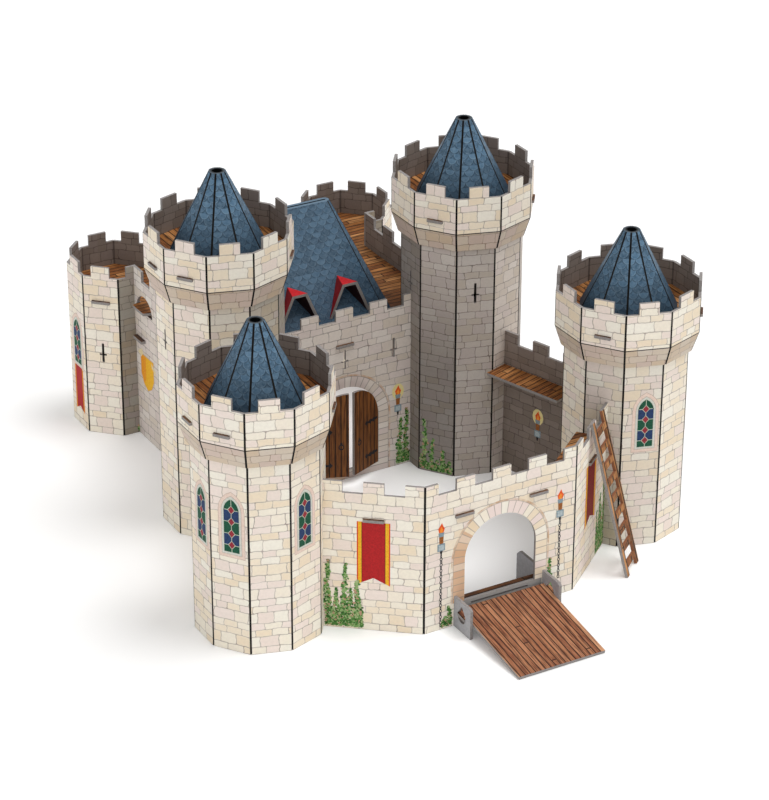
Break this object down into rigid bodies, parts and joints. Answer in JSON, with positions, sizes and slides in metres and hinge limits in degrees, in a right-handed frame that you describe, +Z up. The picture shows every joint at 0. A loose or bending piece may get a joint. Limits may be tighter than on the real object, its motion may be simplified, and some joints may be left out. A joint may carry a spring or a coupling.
{
  "type": "folded card toy castle",
  "caption": "Printed card castle: four round-plan folded towers, two turrets, a keep with a tall slate roof, gate walls, drawbridge, double door and ladder.",
  "frame": {"origin": "on the floor, under the middle of the keep's front wall, halfway through its thickness", "axes": "+Z up, -Y from the keep towards the gate and the drawbridge, +X to the right when facing the castle from the gate"},
  "size_m": [0.5601, 0.7197, 0.379],
  "materials": {
    "stone_card": "matte",
    "plank_card": "matte",
    "slate_card": "matte",
    "red_card": "matte",
    "grey_card": "matte"
  },
  "bodies": {
    "castle": {"tower_body_front_left": "stone_card", "tower_crown_front_left": "stone_card", "tower_deck_front_left": "plank_card", "tower_roof_front_left": "slate_card", "tower_body_front_right": "stone_card", "tower_crown_front_right": "stone_card", "tower_deck_front_right": "plank_card", "tower_roof_front_right": "slate_card", "tower_body_back_left": "stone_card", "tower_crown_back_left": "stone_card", "tower_deck_back_left": "plank_card", "tower_roof_back_left": "slate_card", "tower_body_back_right": "stone_card", "tower_crown_back_right": "stone_card", "tower_deck_back_right": "plank_card", "tower_roof_back_right": "slate_card", "turret_body_left": "stone_card", "turret_deck_left": "plank_card", "turret_body_right": "stone_card", "turret_deck_right": "plank_card", "curtain_wall_left": "stone_card", "curtain_walk_left": "plank_card", "curtain_wall_right": "stone_card", "curtain_walk_right": "plank_card", "gate_wall": "stone_card", "gate_walk": "plank_card", "keep_wall_front": "stone_card", "keep_wall_right": "stone_card", "keep_wall_back": "stone_card", "keep_wall_left": "stone_card", "keep_deck": "plank_card", "keep_shelf": "plank_card", "keep_roof": "slate_card", "dormer_left": "red_card", "dormer_right": "red_card", "bridge_bracket_left": "grey_card", "bridge_bracket_right": "grey_card", "threshold_plank": "plank_card", "ladder": "plank_card"},
    "drawbridge": {"drawbridge": "plank_card"},
    "door_left": {"door_leaf_left": "plank_card"},
    "door_right": {"door_leaf_right": "plank_card"}
  },
  "joints": [
    {"name": "drawbridge_hinge", "type": "hinge", "parent": "castle", "child": "drawbridge", "pos_m": [0, -0.3234, 0.017], "axis": [-1, 0, 0], "range_deg": [0, 104]},
    {"name": "door_hinge_left", "type": "hinge", "parent": "castle", "child": "door_left", "pos_m": [-0.0396, -0.0015, 0], "axis": [0, 0, -1], "range_deg": [-22, 68]},
    {"name": "door_hinge_right", "type": "hinge", "parent": "castle", "child": "door_right", "pos_m": [0.0396, -0.0015, 0], "axis": [0, 0, 1], "range_deg": [-22, 68]}
  ]
}
